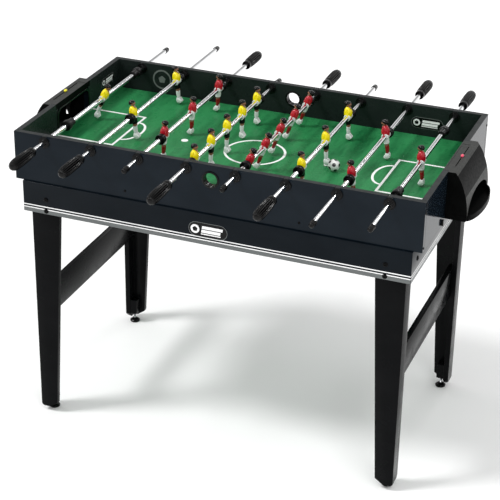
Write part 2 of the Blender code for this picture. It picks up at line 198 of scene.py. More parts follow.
def field_finish():
    """Printed turf: mown streaks across the table, patches, fine blades and satin film."""
    made = Finish("field_print", specular=0.08)
    streak = made.spread(made.noise(24, 3, (1, 0.14, 1)), 0, 1, 0.42, 0.56)
    patch = made.spread(made.noise(9, 3, (1, 0.4, 1)), 0, 0.8, 0.42, 0.66)
    blade = made.spread(made.noise(150, 4, (1, 0.25, 1)), 0, 1)
    broad = made.mix(streak, (0.006, 0.092, 0.028), (0.024, 0.205, 0.066))
    patched = made.mix(patch, broad, (0.034, 0.240, 0.085))
    fine = made.mix(blade, (0.009, 0.120, 0.036), (0.034, 0.230, 0.080))
    made.colour(made.mix(made.spread(made.noise(60, 2), 0.15, 0.45), patched, fine))
    made.rough(made.spread(made.noise(40, 3), 0.24, 0.38))
    made.bump(made.noise(700, 2), 0.05, 0.0002)
    return made.mat


def ball_finish(centre):
    """White ball with a black spot at each corner of an icosahedron."""
    made = Finish("ball_print", rough=0.3, coat=0.3)
    centred = made.add("ShaderNodeVectorMath", operation="SUBTRACT")
    centred.inputs[1].default_value = centre
    made.link(made.place, centred.inputs[0])
    unit = made.add("ShaderNodeVectorMath", operation="NORMALIZE")
    made.link(centred.outputs[0], unit.inputs[0])
    golden = (1 + math.sqrt(5)) / 2
    tilt = Matrix.Rotation(0.5, 3, "X") @ Matrix.Rotation(0.35, 3, "Y")
    nearest = None
    for a, b in ((1, golden), (1, -golden)):
        for corner in ((0, a, b), (a, b, 0), (b, 0, a)):
            aim = tilt @ Vector(corner).normalized()
            dot = made.add("ShaderNodeVectorMath", operation="DOT_PRODUCT")
            dot.inputs[1].default_value = aim
            made.link(unit.outputs[0], dot.inputs[0])
            size = made.add("ShaderNodeMath", operation="ABSOLUTE")
            made.link(dot.outputs["Value"], size.inputs[0])
            if nearest is None:
                nearest = size.outputs[0]
                continue
            best = made.add("ShaderNodeMath", operation="MAXIMUM")
            made.link(nearest, best.inputs[0])
            made.link(size.outputs[0], best.inputs[1])
            nearest = best.outputs[0]
    spot = made.spread(nearest, 0, 1, 0.946, 0.953)
    white = made.mix(made.spread(made.noise(90, 3), 0, 1), (0.74, 0.75, 0.75), (0.84, 0.84, 0.83))
    made.colour(made.mix(spot, white, (0.010, 0.010, 0.012)))
    made.rough(made.spread(made.noise(200, 3), 0.24, 0.40))
    return made.mat


def floor_finish():
    made = Finish("studio_floor", rough=0.9, specular=0.1)
    made.colour(made.mix(made.noise(3, 4), (0.93, 0.93, 0.93), (0.97, 0.97, 0.97)))
    return made.mat


PANEL = laminate("panel_foil", (0.0035, 0.0072, 0.0115), (0.0062, 0.0105, 0.0155), 0.10, 0.115)
APRON = laminate("apron_foil", (0.0020, 0.0042, 0.0068), (0.0040, 0.0066, 0.0095), 0.12, 0.09)
LEG = laminate("leg_foil", (0.0022, 0.0024, 0.0028), (0.0040, 0.0042, 0.0047), 0.22, 0.06)
INNER = laminate("inner_foil", (0.0090, 0.0140, 0.0128), (0.0150, 0.0205, 0.0190), 0.26, 0.16)
EDGE = moulded("edge_band", (0.022, 0.024, 0.025), (0.034, 0.037, 0.037), 0.42, 500, 0.12, 0.09)
FIELD = field_finish()
PLASTIC = moulded(
    "black_moulding", (0.0012, 0.0012, 0.0013), (0.0028, 0.0028, 0.0030), 0.22, 900, 0.08, 0.18
)
# black moulding of the returns' low cup band, also used as painted shade: the same black stands for the shade on
# the returns' side walls, inside them and on the baffle
BLACK_BAND_AND_SHADE = moulded(
    "black_band_and_painted_shade", (0.0008, 0.0010, 0.0010), (0.0018, 0.0020, 0.0020), 0.40, 1400, 0.12, 0.03
)
RUBBER = moulded(
    "bumper_rubber", (0.0014, 0.0014, 0.0015), (0.0034, 0.0034, 0.0036), 0.30, 900, 0.1, 0.2
)
GRIP = moulded(
    "grip_plastic", (0.0010, 0.0010, 0.0011), (0.0026, 0.0026, 0.0028), 0.12, 900, 0.05, 0.20
)
HOUSING = moulded(
    "return_moulding", (0.026, 0.027, 0.0255), (0.036, 0.037, 0.035), 0.44, 1100, 0.3, 0.15
)
CHROME = metal("chromed_tube", (0.84, 0.85, 0.86), (0.93, 0.93, 0.94), 0.07, (1, 0.05, 1))
BOLT = moulded(
    "black_bolt", (0.0006, 0.0006, 0.0007), (0.0016, 0.0016, 0.0018), 0.30, 900, 0.1, 0.08
)
ZINC = metal("zinc_screw", (0.55, 0.56, 0.58), (0.75, 0.76, 0.78), 0.22, (1, 1, 1))
SILVER = metal("silver_foil", (0.13, 0.14, 0.14), (0.17, 0.18, 0.18), 0.32, (0.1, 0.1, 1))
WHITE_LINE = moulded("white_print", (0.84, 0.85, 0.85), (0.92, 0.92, 0.92), 0.40, 600, 0.1)
GREY_PRINT = moulded("grey_print", (0.11, 0.125, 0.12), (0.17, 0.19, 0.18), 0.45, 600, 0.1)
YELLOW = painted("yellow_shirt", (0.90, 0.70, 0.002), (0.97, 0.84, 0.004))
RED = painted("red_shirt", (0.34, 0.004, 0.012), (0.50, 0.008, 0.022))
RED_SOCK = painted("red_sock", (0.18, 0.003, 0.005), (0.27, 0.005, 0.008))
BLACK_SHORTS = painted(
    "black_shorts", (0.0015, 0.0015, 0.0020), (0.0040, 0.0040, 0.0045), 0.20, 0.0, 0.15
)
WHITE_KIT = painted("white_kit", (0.66, 0.70, 0.68), (0.80, 0.83, 0.81))
SKIN = painted("player_skin", (0.20, 0.085, 0.045), (0.30, 0.135, 0.080), 0.35)
HAIR = painted("player_hair", (0.0015, 0.0013, 0.0013), (0.0040, 0.0036, 0.0036), 0.16, 0.0, 0.25)
YELLOW_BEAD = painted("yellow_bead", (0.80, 0.72, 0.02), (0.92, 0.86, 0.05))
RED_BEAD = painted("red_bead", (0.72, 0.06, 0.12), (0.86, 0.13, 0.20))
BALL = ball_finish((BALL_LO + BALL_HI) / 2)


# ---- mesh helpers
def face(bm, verts, slot):
    made = bm.faces.new(verts)
    made.material_index = slot


def skin(bm, loops, slot=0, capped=True):
    """Skin a stack of loops; a one-point loop closes in a point."""
    count = max(len(loop) for loop in loops)
    rows = [[bm.verts.new(spot) for spot in loop] for loop in loops]
    for near, far in zip(rows, rows[1:]):
        for i in range(count):
            j = (i + 1) % count
            if len(near) == 1:
                face(bm, (near[0], far[j], far[i]), slot)
            elif len(far) == 1:
                face(bm, (near[i], near[j], far[0]), slot)
            else:
                face(bm, (near[i], near[j], far[j], far[i]), slot)
    for row in (rows[0], rows[-1]):
        if capped and len(row) > 1:
            face(bm, row, slot)


def circle(radius, sides, centre=(0.0, 0.0), start=0.0):
    turn = [start + 2 * math.pi * i / sides for i in range(sides)]
    return [(centre[0] + radius * math.cos(a), centre[1] + radius * math.sin(a)) for a in turn]


def placed(pair, axis, along):
    spot = list(pair)
    spot.insert("XYZ".index(axis), along)
    return spot


def lathe(bm, profile, axis="Y", sides=32, slot=0, centre=(0, 0, 0), flutes=None):
    """Turn (along, radius) points about an axis; flutes gives (count, depth per point)."""
    loops = []
    for step, (along, radius) in enumerate(profile):
        pairs = circle(radius, sides) if radius else [(0.0, 0.0)]
        if flutes and radius:
            count, depths = flutes
            pairs = []
            for i in range(sides):
                angle = 2 * math.pi * i / sides
                ridge = abs(math.cos(count * angle / 2))
                reach = radius - depths[step] * (1 - ridge)
                pairs.append((reach * math.cos(angle), reach * math.sin(angle)))
        loops.append([Vector(placed(pair, axis, along)) + Vector(centre) for pair in pairs])
    skin(bm, loops, slot)


def ring_of(bm, rows, slot=0):
    """Faces between closed loops of vertices, the last loop joined to the first."""
    for near, far in zip(rows, rows[1:] + rows[:1]):
        for i in range(len(near)):
            j = (i + 1) % len(near)
            face(bm, (near[i], near[j], far[j], far[i]), slot)


def tube(bm, profile, axis="Y", sides=40, slot=0, centre=(0, 0, 0)):
    """Turn a closed (along, radius) section into a ring with a hole."""
    rows = []
    for along, radius in profile:
        spots = [Vector(placed(pair, axis, along)) for pair in circle(radius, sides)]
        rows.append([bm.verts.new(spot + Vector(centre)) for spot in spots])
    ring_of(bm, rows, slot)


def prism(bm, outline, axis, lo, hi, slot=0):
    skin(bm, [[placed(pair, axis, along) for pair in outline] for along in (lo, hi)], slot)


def box(bm, lo, hi, slot=0):
    outline = [(lo[0], lo[1]), (hi[0], lo[1]), (hi[0], hi[1]), (lo[0], hi[1])]
    prism(bm, outline, "Z", lo[2], hi[2], slot)


def loft(bm, levels, sides=24, slot=0, power=2.3, aside=0.0, turn=None):
    """Skin rounded sections: (height, forward shift, half depth, half width) each."""
    loops = []
    for z, shift, depth, width in levels:
        loop = []
        for i in range(sides):
            angle = 2 * math.pi * i / sides
            c, s = math.cos(angle), math.sin(angle)
            x = shift + depth * math.copysign(abs(c) ** (2 / power), c)
            y = aside + width * math.copysign(abs(s) ** (2 / power), s)
            spot = Vector((x, y, z))
            loop.append(turn @ spot if turn else spot)
        loops.append(loop)
    skin(bm, loops, slot)


def solid(bm, name="piece"):
    bmesh.ops.recalc_face_normals(bm, faces=bm.faces[:])
    mesh = bpy.data.meshes.new(name)
    bm.to_mesh(mesh)
    bm.free()
    return mesh


def built(*steps):
    """A mesh from (builder, arguments...) steps."""
    bm = bmesh.new()
    for builder, *arguments in steps:
        builder(bm, *arguments)
    return solid(bm)


def carve(mesh, adds=(), cuts=()):
    """Join and cut solids exactly and clean the result."""
    host = bpy.data.objects.new("host", mesh)
    bpy.context.scene.collection.objects.link(host)
    tools = []
    for kind, meshes in (("UNION", adds), ("DIFFERENCE", cuts)):
        for extra in meshes:
            tool = bpy.data.objects.new("tool", extra)
            bpy.context.scene.collection.objects.link(tool)
            step = host.modifiers.new(kind, "BOOLEAN")
            step.operation = kind
            step.solver = "EXACT"
            step.object = tool
            tools.append(tool)
    bpy.context.view_layer.update()
    seen = host.evaluated_get(bpy.context.evaluated_depsgraph_get())
    result = bpy.data.meshes.new_from_object(seen)
    for spent in [*tools, host]:
        bpy.data.objects.remove(spent, do_unlink=True)
    bm = bmesh.new()
    bm.from_mesh(result)
    bmesh.ops.remove_doubles(bm, verts=bm.verts[:], dist=0.00001)
    bmesh.ops.dissolve_limit(
        bm, angle_limit=math.radians(0.5), verts=bm.verts[:], edges=bm.edges[:]
    )
    return solid(bm)


def mirrored(mesh, x=1, y=1):
    copy = mesh.copy()
    copy.transform(Matrix.Diagonal((x, y, 1.0, 1.0)))
    if x * y < 0:
        copy.flip_normals()
    return copy


def show(name, body, mesh, finishes, at=None, bevel=0.0, smooth=35, stands_for=(), slot=None):
    """Put a piece in the scene, riding on its body."""
    piece = bpy.data.objects.new(name, mesh)
    bpy.context.scene.collection.objects.link(piece)
    if at is not None:
        piece.location = at
    if not mesh.materials:
        for finish in finishes:
            mesh.materials.append(finish)
        for polygon in mesh.polygons:
            polygon.use_smooth = True
        if not bevel:
            mesh.set_sharp_from_angle(angle=math.radians(smooth))
    if bevel:
        rounding = piece.modifiers.new("edges", "BEVEL")
        rounding.width = bevel
        rounding.segments = 2
        rounding.limit_method = "ANGLE"
        rounding.angle_limit = math.radians(smooth)
        rounding.harden_normals = True
    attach(piece, body)
    if stands_for:
        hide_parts(*stands_for)
    return piece


def paint(mesh, rule):
    """Choose each face's finish from its middle and its normal."""
    for polygon in mesh.polygons:
        polygon.material_index = rule(polygon.center, polygon.normal)
    return mesh


def cad_copy(node):
    """A clean copy of a CAD node's mesh, flat faces whole again, ready for rounding."""
    bm = bmesh.new()
    bm.from_mesh(frame["nodes"][node].data)
    bmesh.ops.remove_doubles(bm, verts=bm.verts[:], dist=0.00001)
    bmesh.ops.dissolve_limit(bm, angle_limit=math.radians(1), verts=bm.verts[:], edges=bm.edges[:])
    for polygon in bm.faces:
        polygon.material_index = 0
    return solid(bm)


def curve_through(points, steps=6):
    """A smooth line through (a, b) points."""
    padded = [points[0], *points, points[-1]]
    line = []
    for before, here, there, after in zip(padded, padded[1:], padded[2:], padded[3:]):
        for i in range(steps):
            t = i / steps
            spot = []
            for p, q, r, s in zip(before, here, there, after):
                bend = 2 * p - 5 * q + 4 * r - s
                twist = 3 * (q - r) + s - p
                spot.append(q + 0.5 * t * ((r - p) + t * (bend + t * twist)))
            line.append(tuple(spot))
    return [*line, points[-1]]


# ---- upper box
NOTCH_R = 0.0068
SERVE_Z = RIM_Z - 0.039
SERVE_R = 0.018
SERVE_RING_R = 0.023


def long_board(side):
    """Long board, notched from the rim for its bearings, with the serve hole."""
    notches = [(-BOX_X, RIM_Z)]
    for number in range(1, 9):
        x = AXES[number].x
        under = [math.pi + math.pi * i / 12 for i in range(13)]
        notches.append((x - NOTCH_R, RIM_Z))
        notches += [(x + NOTCH_R * math.cos(a), ROD_Z + NOTCH_R * math.sin(a)) for a in under]
        notches.append((x + NOTCH_R, RIM_Z))
    outline = [*notches, (BOX_X, RIM_Z), (BOX_X, BOX_Z), (-BOX_X, BOX_Z)]
    lo, hi = sorted((side * IN_Y, side * BOX_Y))
    hole = built((prism, circle(SERVE_R + 0.0008, 48, (0, SERVE_Z)), "Y", lo - 0.01, hi + 0.01))
    board = carve(built((prism, outline, "Y", lo, hi)), cuts=[hole])

    def finish(middle, normal):
        if normal.z > 0.9 and middle.z > RIM_Z - 0.001:
            return 1
        return 2 if normal.y * side < -0.9 else 0

    return paint(board, finish)


def bearing():
    """Front bearing at x = 0: flange, hub and a neck that fills the notch."""
    out, skin_y, room, inside = -BEARING_OUT, -BOX_Y, -IN_Y, -BEARING_IN
    bore = ROD_R + 0.0002
    section = [
        (out, bore), (out, 0.0086), (out + 0.0008, 0.0094), (out + 0.0026, 0.0098),
        (out + 0.0030, 0.0112), (out + 0.0030, 0.0126), (out + 0.0024, 0.0134),
        (out + 0.0026, 0.0145), (out + 0.0034, 0.0150), (skin_y, 0.0150), (skin_y, NOTCH_R),
        (room, NOTCH_R), (room, 0.0150), (room + 0.0022, 0.0150), (room + 0.0030, 0.0144),
        (room + 0.0030, 0.0112), (room + 0.0044, 0.0102), (inside, 0.0098), (inside, bore),
    ]
    bm = bmesh.new()
    tube(bm, section, centre=(0, 0, ROD_Z))
    slit = 0.0007
    box(
        bm, (-NOTCH_R + slit, skin_y + 0.0002, ROD_Z + NOTCH_R - 0.0004),
        (NOTCH_R - slit, room - 0.0002, RIM_Z - 0.0002), 1,
    )
    return solid(bm)


def serve_ring():
    out, inside = -BOX_Y - 0.003, -IN_Y + 0.002
    rim = SERVE_R + 0.0007
    section = [
        (out, SERVE_R + 0.0010), (out, SERVE_RING_R - 0.0016),
        (out + 0.0008, SERVE_RING_R - 0.0003),
        (-BOX_Y, SERVE_RING_R), (-BOX_Y, rim), (-IN_Y, rim), (-IN_Y, SERVE_RING_R),
        (inside - 0.0006, SERVE_RING_R - 0.0003), (inside, SERVE_RING_R - 0.0014),
        (inside, SERVE_R + 0.0010), (inside - 0.001, SERVE_R), (out + 0.001, SERVE_R),
    ]
    return built((tube, section, "Y", 64, 0, (0, 0, SERVE_Z)))


def screw_head(radius, height):
    """Domed head with a recess, its seat at the origin and facing -Y."""
    profile = [
        (0.0, 0), (0.0, radius), (-height * 0.45, radius * 0.97), (-height * 0.85, radius * 0.74),
        (-height, radius * 0.46), (-height * 0.92, radius * 0.36), (-height * 0.45, radius * 0.30),
        (-height * 0.45, 0),
    ]
    return built((lathe, profile, "Y", 24))


BEARING = bearing()
REAR_BEARING = mirrored(BEARING, y=-1)
RING = serve_ring()
for name, side, fitting, ring in (
    ("front", -1, BEARING, RING),
    ("rear", 1, REAR_BEARING, mirrored(RING, y=-1)),
):
    node = f"side_panel_{name}"
    show(
        f"board_{name}", "table", long_board(side), (PANEL, EDGE, INNER),
        bevel=0.0006, stands_for=(node,), slot="charcoal_laminate",
    )
    for number in range(1, 9):
        show(
            f"bearing_{name}_{number}", "table", fitting, (PLASTIC, EDGE),
            at=(AXES[number].x, 0, 0), stands_for=(node,), slot="black_plastic",
        )
    show(
        f"serve_ring_{name}", "table", ring, (PLASTIC,), stands_for=(node,), slot="black_plastic"
    )

PLATE_Y = 0.100
GOAL_Y = 0.090
GOAL_TOP = RIM_Z - 0.0157


def end_board():
    """Right end board with the goal mouth and the seat of the return's top plate."""
    y = IN_Y - GAP
    seat = PLATE_Y + GAP
    top = GOAL_TOP - GAP
    outline = [
        (-y, BOX_Z), (y, BOX_Z), (y, RIM_Z), (seat, RIM_Z), (seat, top), (GOAL_Y, top),
        (GOAL_Y, FIELD_Z), (-GOAL_Y, FIELD_Z), (-GOAL_Y, top), (-seat, top), (-seat, RIM_Z),
        (-y, RIM_Z),
    ]
    board = built((prism, outline, "X", IN_X, BOX_X))

    def finish(middle, normal):
        if normal.z > 0.9 and middle.z > RIM_Z - 0.001:
            return 1
        return 2 if normal.x < -0.9 else 0

    return paint(board, finish)


def goal_lip():
    """Thin rounded frame round the goal on the playing side."""
    corner = 0.020
    low = FIELD_Z + GAP
    top = GOAL_TOP - 0.0006

    def arch(y, z):
        turn = [math.pi / 2 * i / 8 for i in range(9)]
        right = [
            (y - corner + corner * math.cos(a), z - corner + corner * math.sin(a)) for a in turn
        ]
        return [(y, low), *right] + [(-a, b) for a, b in reversed(right)] + [(-y, low)]

    outline = arch(GOAL_Y + 0.006, top) + list(reversed(arch(GOAL_Y - 0.0015, top - 0.0045)))
    return built((prism, outline, "X", IN_X - 0.0016, IN_X))


END_BOARD = end_board()
LIP = goal_lip()
for name, x in (("left", -1), ("right", 1)):
    node = f"end_panel_{name}"
    show(
        f"end_board_{name}", "table", mirrored(END_BOARD, x=x), (PANEL, EDGE, INNER),
        bevel=0.0006, stands_for=(node,), slot="charcoal_laminate",
    )
    show(
        f"goal_lip_{name}", "table", mirrored(LIP, x=x), (PLASTIC,), bevel=0.0004,
        stands_for=(node,), slot="black_plastic",
    )

PANEL_SCREW = screw_head(0.0034, 0.0014)
FRAME_BOLT = screw_head(0.0066, 0.0030)
PANEL_SCREW_X, PANEL_SCREW_Z = 0.2355, 0.7295
FRAME_BOLT_X, FRAME_BOLT_ZS = 0.462, (0.6315, 0.6640)
END_SCREW_Y, END_SCREW_ZS = 0.2975, (0.719, 0.812)
END_BOLT_Y, END_BOLT_Z = 0.262, 0.672


def fasten(name, mesh, at, turn):
    head = show(name, "table", mesh, (BOLT,), at=at, slot="black_plastic")
    head.rotation_euler = (0, 0, turn)


spots = [
    ("panel_screw", PANEL_SCREW, (x, side * BOX_Y, PANEL_SCREW_Z), side)
    for side in (-1, 1) for x in (-PANEL_SCREW_X, PANEL_SCREW_X)
]
spots += [
    ("frame_bolt", FRAME_BOLT, (x * FRAME_BOLT_X, side * -APRON_LO.y, z), side)
    for side in (-1, 1) for x in (-1, 1) for z in FRAME_BOLT_ZS
]
for count, (kind, mesh, at, side) in enumerate(spots, start=1):
    fasten(f"{kind}_{count}", mesh, at, 0 if side < 0 else math.pi)
spots = [
    ("end_screw", PANEL_SCREW, BOX_X, y, z)
    for y in (-END_SCREW_Y, END_SCREW_Y) for z in END_SCREW_ZS
]
spots += [("end_bolt", FRAME_BOLT, APRON_HI.x, y, END_BOLT_Z) for y in (-END_BOLT_Y, END_BOLT_Y)]
for end, side in (("left", -1), ("right", 1)):
    for count, (kind, mesh, x, y, z) in enumerate(spots, start=1):
        fasten(f"{kind}_{end}_{count}", mesh, (side * x, y, z), side * math.pi / 2)


# ---- playing field
LINE_W = 0.0065
PRINT_LO = FIELD_Z - 0.0001
PRINT_HI = FIELD_Z + 0.00015
CIRCLE_R = 0.080
SPOT_X = 0.203
SPOT_R = 0.0095
AREA_X = 0.368
AREA_Y = 0.105
BOW_X = 0.034
BOW_Y = 0.062


def ribbon(bm, points, width, lo, hi, closed=False):
    """A flat printed line along (x, y) points."""
    sides = ([], [])
    count = len(points)
    for i, (x, y) in enumerate(points):
        before = points[i - 1] if i or closed else points[i]
        after = points[(i + 1) % count] if i < count - 1 or closed else points[i]
        run = Vector((after[0] - before[0], after[1] - before[1])).normalized() * width / 2
        sides[0].append((x - run.y, y + run.x))
        sides[1].append((x + run.y, y - run.x))
    if closed:
        rows = []
        for outline, z in ((sides[0], lo), (sides[0], hi), (sides[1], hi), (sides[1], lo)):
            rows.append([bm.verts.new((x, y, z)) for x, y in outline])
        ring_of(bm, rows)
        return
    prism(bm, sides[0] + list(reversed(sides[1])), "Z", lo, hi)


def markings():
    bm = bmesh.new()
    ribbon(bm, circle(CIRCLE_R, 96), LINE_W, PRINT_LO, PRINT_HI, closed=True)
    for x in (-1, 1):
        prism(bm, circle(SPOT_R, 32, (x * SPOT_X, 0)), "Z", PRINT_LO, PRINT_HI)
        half = LINE_W / 2
        edge = x * (IN_X - 0.0005)
        for y in (-AREA_Y, AREA_Y):
            ribbon(bm, [(edge, y), (x * (AREA_X - half), y)], LINE_W, PRINT_LO, PRINT_HI)
        across = [(x * AREA_X, half - AREA_Y), (x * AREA_X, AREA_Y - half)]
        ribbon(bm, across, LINE_W, PRINT_LO, PRINT_HI)
        turn = [math.pi * i / 32 for i in range(33)]
        bow = [(x * (AREA_X - half - BOW_X * math.sin(a)), BOW_Y * math.cos(a)) for a in turn]
        ribbon(bm, bow, LINE_W, PRINT_LO, PRINT_HI)
    return solid(bm)


FIELD_BOARD = frame["nodes"]["playfield"]
FIELD_BOARD.data.materials.clear()
FIELD_BOARD.data.materials.append(FIELD)
show("field_markings", "table", markings(), (WHITE_LINE,), slot="green_field")


# ---- printed emblems
def pill(bm, length, height, depth, inset, slot):
    """Rounded plate in the XZ plane, its back at y = 0 and its face towards -Y."""
    radius = height / 2 - inset
    run = length / 2 - height / 2
    right = [(-math.pi / 2 + math.pi * i / 16) for i in range(17)]
    outline = [(run + radius * math.cos(a), radius * math.sin(a)) for a in right]
    outline += [(-x, -z) for x, z in outline]
    prism(bm, outline, "Y", -depth, 0, slot)


def badge(length, height):
    """Generic plate: pale rim, dark middle, a plain disc and slanted bars."""
    bm = bmesh.new()
    pill(bm, length, height, 0.0003, 0, 2)
    pill(bm, length, height, 0.0005, height * 0.035, 1)
    disc = circle(height * 0.30, 32, (-length * 0.33, 0))
    prism(bm, disc, "Y", -0.0007, 0, 0)
    prism(bm, circle(height * 0.19, 5, (-length * 0.33, 0), math.pi / 2), "Y", -0.0008, 0, 1)
    slant = height * 0.16
    for top, deep, reach in ((0.27, 0.20, 0.45), (0.01, 0.20, 0.40), (-0.25, 0.07, 0.42)):
        z0, z1 = height * (top - deep), height * top
        left = -length * 0.16
        right = length * reach * 0.82
        bar = [
            (left + slant * z0 / height, z0), (right + slant * z0 / height, z0),
            (right + slant * z1 / height, z1), (left + slant * z1 / height, z1),
        ]
        prism(bm, bar, "Y", -0.0007, 0, 0)
    return solid(bm)


def ball_emblem(radius):
    """Generic ball: a plain ring with a pentagon in its middle, flat against the wall."""
    bm = bmesh.new()
    prism(bm, circle(radius, 48), "Y", -0.0003, 0)
    prism(bm, circle(radius * 0.84, 48), "Y", -0.0004, 0, 1)
    prism(bm, circle(radius * 0.40, 5, (0, 0), math.pi / 2), "Y", -0.0005, 0)
    return solid(bm)


show(
    "badge_front", "table", badge(0.106, 0.040), (WHITE_LINE, PLASTIC, SILVER),
    at=(-0.004, APRON_LO.y, 0.6640), slot="charcoal_laminate",
)
show(
    "badge_inner_rear", "table", badge(0.090, 0.032), (WHITE_LINE, PLASTIC, GREY_PRINT),
    at=(0.388, IN_Y, 0.7925), slot="charcoal_laminate",
)
show(
    "emblem_inner_rear", "table", ball_emblem(0.029), (GREY_PRINT, INNER),
    at=(-0.400, IN_Y, 0.7990), slot="charcoal_laminate",
)
side_badge = show(
    "badge_inner_left", "table", badge(0.082, 0.026), (WHITE_LINE, PLASTIC, GREY_PRINT),
    at=(-IN_X, 0.2130, 0.8040), slot="charcoal_laminate",
)
side_badge.rotation_euler = (0, 0, math.pi / 2)


# ---- ball returns
SHELL_Y = RETURN_HI.y
SHELL_Z = RETURN_LO.z
SHELL_T = 0.003
CUP_AX = 0.030
CUP_AY = 0.105
CUP_X = RETURN_HI.x - CUP_AX
CUP_Z = SHELL_Z + 0.015
SLOT_X = BOX_X + 0.008
SLOT_W = 0.003


def ball_return():
    """Hollow moulding: bowed face, arched opening, crescent cup, top plate and slider slot."""
    back = BOX_X + GAP
    knots = [
        (CUP_X + 0.004, SHELL_Z), (CUP_X + 0.006, SHELL_Z + 0.020),
        (CUP_X + 0.003, SHELL_Z + 0.050), (CUP_X - 0.003, SHELL_Z + 0.075),
        (CUP_X - 0.015, RIM_Z - 0.022), (BOX_X + 0.0205, RIM_Z),
    ]
    bow = curve_through(knots, 5)
    shell = built((prism, [(back, SHELL_Z), *bow, (back, RIM_Z)], "Y", -SHELL_Y, SHELL_Y))
    bridge = built((box, (IN_X + GAP, -PLATE_Y, GOAL_TOP), (BOX_X + 0.0055, PLATE_Y, RIM_Z)))
    floor = SHELL_Z + SHELL_T
    ceiling = RIM_Z - 0.004
    inner = [(x - SHELL_T, z) for x, z in bow if SHELL_Z + 0.012 < z < RIM_Z - 0.012]
    hollow = built((
        prism,
        [(back - 0.01, floor), (CUP_X + 0.001, floor), *inner, (BOX_X + 0.0170, ceiling),
         (BOX_X + 0.0055, ceiling), (BOX_X + 0.0055, GOAL_TOP - 0.002),
         (back - 0.01, GOAL_TOP - 0.002)],
        "Y", -SHELL_Y + SHELL_T, SHELL_Y - SHELL_T,
    ))
    turn = [-math.pi / 2 + math.pi * i / 48 for i in range(49)]
    wall = [(CUP_X + CUP_AX * math.cos(a), CUP_AY * math.sin(a)) for a in turn]
    thin_x, thin_y = CUP_AX - SHELL_T, CUP_AY - SHELL_T
    room = [(CUP_X + thin_x * math.cos(a), thin_y * math.sin(a)) for a in turn]
    cup = built((
        prism, [*wall, (CUP_X - 0.004, CUP_AY), (CUP_X - 0.004, -CUP_AY)], "Z", SHELL_Z, CUP_Z,
    ))
    dip = built((
        prism, [*room, (CUP_X - 0.020, thin_y), (CUP_X - 0.020, -thin_y)], "Z",
        floor, CUP_Z + 0.004,
    ))
    arch = [
        (0.098 * math.cos(a), CUP_Z + 0.002 + 0.036 * math.sin(a))
        for a in (math.pi * i / 36 for i in range(37))
    ]
    mouth = built((prism, arch, "X", CUP_X - 0.012, CUP_X + 0.04))
    slot_end = SLOT_X + SLOT_W / 2
    above = RIM_Z + 0.01
    recess = built((box, (IN_X + 0.0035, -0.074, RIM_Z - 0.0008), (slot_end, 0.080, above)))
    slot = built((box, (slot_end - SLOT_W, -0.066, RIM_Z - 0.010), (slot_end, 0.066, above)))
    band_y = SHELL_Y + 0.0009
    band_top = CUP_Z + 0.0008
    band = built((box, (BOX_X + 0.020, -band_y, SHELL_Z), (CUP_X + 0.004, band_y, band_top)))
    mesh = carve(shell, adds=[bridge, cup, band], cuts=[hollow, dip, mouth, recess, slot])

    # painted shade: the side walls and the faces on the table side of the cup's middle below the top get the black
    # finish instead of the grey moulding; only the low cup band is black moulding
    def finish(middle, normal):
        shaded_side_wall = abs(normal.y) > 0.9 and abs(middle.y) > SHELL_Y - 0.001
        low = middle.z < CUP_Z + 0.0012 and middle.x > BOX_X + 0.002
        inside = middle.x < CUP_X and middle.z < RIM_Z - 0.006
        return 1 if shaded_side_wall or low or inside else 0

    return paint(mesh, finish)


def score_bead():
    """Oval button, its dome pulled out of round, on a stem through the slot."""
    seat = RIM_Z + GAP
    middle = (BEAD_LO.x + BEAD_HI.x) / 2
    half_x = (BEAD_HI.x - BEAD_LO.x) / 2 - 0.0001
    top = BEAD_HI.z - seat
    dome = [
        (0, 1e-4, 1e-4), (0, half_x * 0.9, 0.0062), (top * 0.2, half_x, 0.0067),
        (top * 0.55, half_x * 0.9, 0.0060), (top * 0.85, half_x * 0.6, 0.0040),
        (top, half_x * 0.2, 0.0013),
    ]
    bm = bmesh.new()
    loft(bm, [(seat + z, SLOT_X, depth, width) for z, depth, width in dome], 32, 0, 2.0)
    box(bm, (SLOT_X - 0.0011, -0.004, BEAD_LO.z), (SLOT_X + 0.0011, 0.004, seat + 0.001))
    box(bm, (middle - 0.002, -0.005, BEAD_LO.z), (middle + 0.0025, 0.005, BEAD_LO.z + 0.0015))
    return solid(bm)


RETURN = ball_return()
BEAD = score_bead()
TAB = built((box, (0, -0.0035, -0.008), (0.0055, 0.0035, 0.008)))
TAB_Y = 0.134
# a dark plate behind the goal, so that daylight from the ball cup doesn't show through it; its black finish is
# painted shade for the dark inside of the housing
BAFFLE_X = CUP_X - 0.010
BAFFLE_LO = (BAFFLE_X - 0.002, -0.094, CUP_Z + 0.0155)
SHADE_BAFFLE = built((box, BAFFLE_LO, (BAFFLE_X, 0.056, CUP_Z + 0.060)))
for name, x, colour, bead in (
    ("left", -1, YELLOW_BEAD, "yellow_bead"), ("right", 1, RED_BEAD, "red_bead"),
):
    show(
        f"return_{name}", "table", mirrored(RETURN, x=x), (HOUSING, BLACK_BAND_AND_SHADE), bevel=0.0007, smooth=28,
        stands_for=(f"ball_return_{name}",), slot="grey_moulding",
    )
    show(
        f"bead_{name}_button", f"bead_{name}", mirrored(BEAD, x=x), (colour,), smooth=50,
        stands_for=(f"score_bead_{name}",), slot=bead,
    )
    show(
        f"return_shade_baffle_{name}", "table", mirrored(SHADE_BAFFLE, x=x), (BLACK_BAND_AND_SHADE,), bevel=0.0004,
        slot="grey_moulding",
    )
    for label, y in (("front", -TAB_Y), ("rear", TAB_Y)):
        show(
            f"return_tab_{name}_{label}", "table", mirrored(TAB, x=x), (PLASTIC,),
            at=(x * BOX_X, y, SHELL_Z), bevel=0.0006, slot="black_plastic",
        )

# ---- apron, legs and feet
show(
    "apron_boards", "table", cad_copy("apron_frame"), (APRON,), bevel=0.0007,
    stands_for=("apron_frame",), slot="charcoal_laminate",
)


